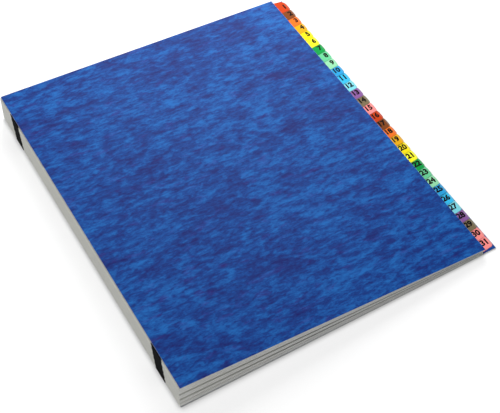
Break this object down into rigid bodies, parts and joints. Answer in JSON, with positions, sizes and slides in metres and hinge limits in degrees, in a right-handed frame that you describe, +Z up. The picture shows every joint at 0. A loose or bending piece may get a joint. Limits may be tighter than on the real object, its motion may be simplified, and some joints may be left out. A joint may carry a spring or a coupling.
{
  "type": "expandable desk file",
  "caption": "Desk file of tabbed, numbered dividers between two mottled pressboard covers, held at the spine by elastic bands that let it expand.",
  "frame": {"origin": "under the middle of the closed file's box, on the surface that it lies on", "axes": "+Z up out of the front cover, +Y along the spine towards the end with tab 1, +X from the spine to the tabs"},
  "size_m": [0.254, 0.3048, 0.0229],
  "materials": {
    "pressboard": "mottled blue pressboard with an acrylic coat, satin, pale at the cut edges",
    "divider_card": "light grey card, matt, with a laminated coloured tab and a black number",
    "elastic": "black woven elastic, matt"
  },
  "bodies": {
    "lowest_divider": {"divider_31": "divider_card", "elastic_band_back": "elastic", "elastic_band_front": "elastic"},
    "front_cover_board": {"front_cover": "pressboard"},
    "back_cover_board": {"back_cover": "pressboard"},
    "leaf_01": {"divider_01": "divider_card"},
    "leaf_02": {"divider_02": "divider_card"},
    "leaf_03": {"divider_03": "divider_card"},
    "leaf_04": {"divider_04": "divider_card"},
    "leaf_05": {"divider_05": "divider_card"},
    "leaf_06": {"divider_06": "divider_card"},
    "leaf_07": {"divider_07": "divider_card"},
    "leaf_08": {"divider_08": "divider_card"},
    "leaf_09": {"divider_09": "divider_card"},
    "leaf_10": {"divider_10": "divider_card"},
    "leaf_11": {"divider_11": "divider_card"},
    "leaf_12": {"divider_12": "divider_card"},
    "leaf_13": {"divider_13": "divider_card"},
    "leaf_14": {"divider_14": "divider_card"},
    "leaf_15": {"divider_15": "divider_card"},
    "leaf_16": {"divider_16": "divider_card"},
    "leaf_17": {"divider_17": "divider_card"},
    "leaf_18": {"divider_18": "divider_card"},
    "leaf_19": {"divider_19": "divider_card"},
    "leaf_20": {"divider_20": "divider_card"},
    "leaf_21": {"divider_21": "divider_card"},
    "leaf_22": {"divider_22": "divider_card"},
    "leaf_23": {"divider_23": "divider_card"},
    "leaf_24": {"divider_24": "divider_card"},
    "leaf_25": {"divider_25": "divider_card"},
    "leaf_26": {"divider_26": "divider_card"},
    "leaf_27": {"divider_27": "divider_card"},
    "leaf_28": {"divider_28": "divider_card"},
    "leaf_29": {"divider_29": "divider_card"},
    "leaf_30": {"divider_30": "divider_card"}
  },
  "joints": [
    {"name": "spine_expansion", "type": "slide", "parent": "lowest_divider", "child": "leaf_01", "axis": [0, 0, 1], "range_m": [0, 0.028], "stiffness_N_per_m": 200, "deforming": ["elastic_band_back", "elastic_band_front"]},
    {"name": "leaf_02_rise", "type": "slide", "parent": "lowest_divider", "child": "leaf_02", "axis": [0, 0, 1], "range_m": [0, 0.02707]},
    {"name": "leaf_03_rise", "type": "slide", "parent": "lowest_divider", "child": "leaf_03", "axis": [0, 0, 1], "range_m": [0, 0.02613]},
    {"name": "leaf_04_rise", "type": "slide", "parent": "lowest_divider", "child": "leaf_04", "axis": [0, 0, 1], "range_m": [0, 0.0252]},
    {"name": "leaf_05_rise", "type": "slide", "parent": "lowest_divider", "child": "leaf_05", "axis": [0, 0, 1], "range_m": [0, 0.02427]},
    {"name": "leaf_06_rise", "type": "slide", "parent": "lowest_divider", "child": "leaf_06", "axis": [0, 0, 1], "range_m": [0, 0.02333]},
    {"name": "leaf_07_rise", "type": "slide", "parent": "lowest_divider", "child": "leaf_07", "axis": [0, 0, 1], "range_m": [0, 0.0224]},
    {"name": "leaf_08_rise", "type": "slide", "parent": "lowest_divider", "child": "leaf_08", "axis": [0, 0, 1], "range_m": [0, 0.02147]},
    {"name": "leaf_09_rise", "type": "slide", "parent": "lowest_divider", "child": "leaf_09", "axis": [0, 0, 1], "range_m": [0, 0.02053]},
    {"name": "leaf_10_rise", "type": "slide", "parent": "lowest_divider", "child": "leaf_10", "axis": [0, 0, 1], "range_m": [0, 0.0196]},
    {"name": "leaf_11_rise", "type": "slide", "parent": "lowest_divider", "child": "leaf_11", "axis": [0, 0, 1], "range_m": [0, 0.01867]},
    {"name": "leaf_12_rise", "type": "slide", "parent": "lowest_divider", "child": "leaf_12", "axis": [0, 0, 1], "range_m": [0, 0.01773]},
    {"name": "leaf_13_rise", "type": "slide", "parent": "lowest_divider", "child": "leaf_13", "axis": [0, 0, 1], "range_m": [0, 0.0168]},
    {"name": "leaf_14_rise", "type": "slide", "parent": "lowest_divider", "child": "leaf_14", "axis": [0, 0, 1], "range_m": [0, 0.01587]},
    {"name": "leaf_15_rise", "type": "slide", "parent": "lowest_divider", "child": "leaf_15", "axis": [0, 0, 1], "range_m": [0, 0.01493]},
    {"name": "leaf_16_rise", "type": "slide", "parent": "lowest_divider", "child": "leaf_16", "axis": [0, 0, 1], "range_m": [0, 0.014]},
    {"name": "leaf_17_rise", "type": "slide", "parent": "lowest_divider", "child": "leaf_17", "axis": [0, 0, 1], "range_m": [0, 0.01307]},
    {"name": "leaf_18_rise", "type": "slide", "parent": "lowest_divider", "child": "leaf_18", "axis": [0, 0, 1], "range_m": [0, 0.01213]},
    {"name": "leaf_19_rise", "type": "slide", "parent": "lowest_divider", "child": "leaf_19", "axis": [0, 0, 1], "range_m": [0, 0.0112]},
    {"name": "leaf_20_rise", "type": "slide", "parent": "lowest_divider", "child": "leaf_20", "axis": [0, 0, 1], "range_m": [0, 0.01027]},
    {"name": "leaf_21_rise", "type": "slide", "parent": "lowest_divider", "child": "leaf_21", "axis": [0, 0, 1], "range_m": [0, 0.00933]},
    {"name": "leaf_22_rise", "type": "slide", "parent": "lowest_divider", "child": "leaf_22", "axis": [0, 0, 1], "range_m": [0, 0.0084]},
    {"name": "leaf_23_rise", "type": "slide", "parent": "lowest_divider", "child": "leaf_23", "axis": [0, 0, 1], "range_m": [0, 0.00747]},
    {"name": "leaf_24_rise", "type": "slide", "parent": "lowest_divider", "child": "leaf_24", "axis": [0, 0, 1], "range_m": [0, 0.00653]},
    {"name": "leaf_25_rise", "type": "slide", "parent": "lowest_divider", "child": "leaf_25", "axis": [0, 0, 1], "range_m": [0, 0.0056]},
    {"name": "leaf_26_rise", "type": "slide", "parent": "lowest_divider", "child": "leaf_26", "axis": [0, 0, 1], "range_m": [0, 0.00467]},
    {"name": "leaf_27_rise", "type": "slide", "parent": "lowest_divider", "child": "leaf_27", "axis": [0, 0, 1], "range_m": [0, 0.00373]},
    {"name": "leaf_28_rise", "type": "slide", "parent": "lowest_divider", "child": "leaf_28", "axis": [0, 0, 1], "range_m": [0, 0.0028]},
    {"name": "leaf_29_rise", "type": "slide", "parent": "lowest_divider", "child": "leaf_29", "axis": [0, 0, 1], "range_m": [0, 0.00187]},
    {"name": "leaf_30_rise", "type": "slide", "parent": "lowest_divider", "child": "leaf_30", "axis": [0, 0, 1], "range_m": [0, 0.000933]},
    {"name": "front_cover_hinge", "type": "hinge", "parent": "leaf_01", "child": "front_cover_board", "pos_m": [-0.126, 0, 0.02257], "axis": [0, -1, 0], "range_deg": [0, 188]},
    {"name": "back_cover_hinge", "type": "hinge", "parent": "lowest_divider", "child": "back_cover_board", "pos_m": [-0.1273, 0, 0.00025], "axis": [0, 1, 0], "range_deg": [0, 180]}
  ],
  "couplings": [
    {"joint": "leaf_02_rise", "follows": "spine_expansion", "ratio": 0.96667},
    {"joint": "leaf_03_rise", "follows": "spine_expansion", "ratio": 0.93333},
    {"joint": "leaf_04_rise", "follows": "spine_expansion", "ratio": 0.9},
    {"joint": "leaf_05_rise", "follows": "spine_expansion", "ratio": 0.86667},
    {"joint": "leaf_06_rise", "follows": "spine_expansion", "ratio": 0.83333},
    {"joint": "leaf_07_rise", "follows": "spine_expansion", "ratio": 0.8},
    {"joint": "leaf_08_rise", "follows": "spine_expansion", "ratio": 0.76667},
    {"joint": "leaf_09_rise", "follows": "spine_expansion", "ratio": 0.73333},
    {"joint": "leaf_10_rise", "follows": "spine_expansion", "ratio": 0.7},
    {"joint": "leaf_11_rise", "follows": "spine_expansion", "ratio": 0.66667},
    {"joint": "leaf_12_rise", "follows": "spine_expansion", "ratio": 0.63333},
    {"joint": "leaf_13_rise", "follows": "spine_expansion", "ratio": 0.6},
    {"joint": "leaf_14_rise", "follows": "spine_expansion", "ratio": 0.56667},
    {"joint": "leaf_15_rise", "follows": "spine_expansion", "ratio": 0.53333},
    {"joint": "leaf_16_rise", "follows": "spine_expansion", "ratio": 0.5},
    {"joint": "leaf_17_rise", "follows": "spine_expansion", "ratio": 0.46667},
    {"joint": "leaf_18_rise", "follows": "spine_expansion", "ratio": 0.43333},
    {"joint": "leaf_19_rise", "follows": "spine_expansion", "ratio": 0.4},
    {"joint": "leaf_20_rise", "follows": "spine_expansion", "ratio": 0.36667},
    {"joint": "leaf_21_rise", "follows": "spine_expansion", "ratio": 0.33333},
    {"joint": "leaf_22_rise", "follows": "spine_expansion", "ratio": 0.3},
    {"joint": "leaf_23_rise", "follows": "spine_expansion", "ratio": 0.26667},
    {"joint": "leaf_24_rise", "follows": "spine_expansion", "ratio": 0.23333},
    {"joint": "leaf_25_rise", "follows": "spine_expansion", "ratio": 0.2},
    {"joint": "leaf_26_rise", "follows": "spine_expansion", "ratio": 0.16667},
    {"joint": "leaf_27_rise", "follows": "spine_expansion", "ratio": 0.13333},
    {"joint": "leaf_28_rise", "follows": "spine_expansion", "ratio": 0.1},
    {"joint": "leaf_29_rise", "follows": "spine_expansion", "ratio": 0.066667},
    {"joint": "leaf_30_rise", "follows": "spine_expansion", "ratio": 0.033333}
  ]
}
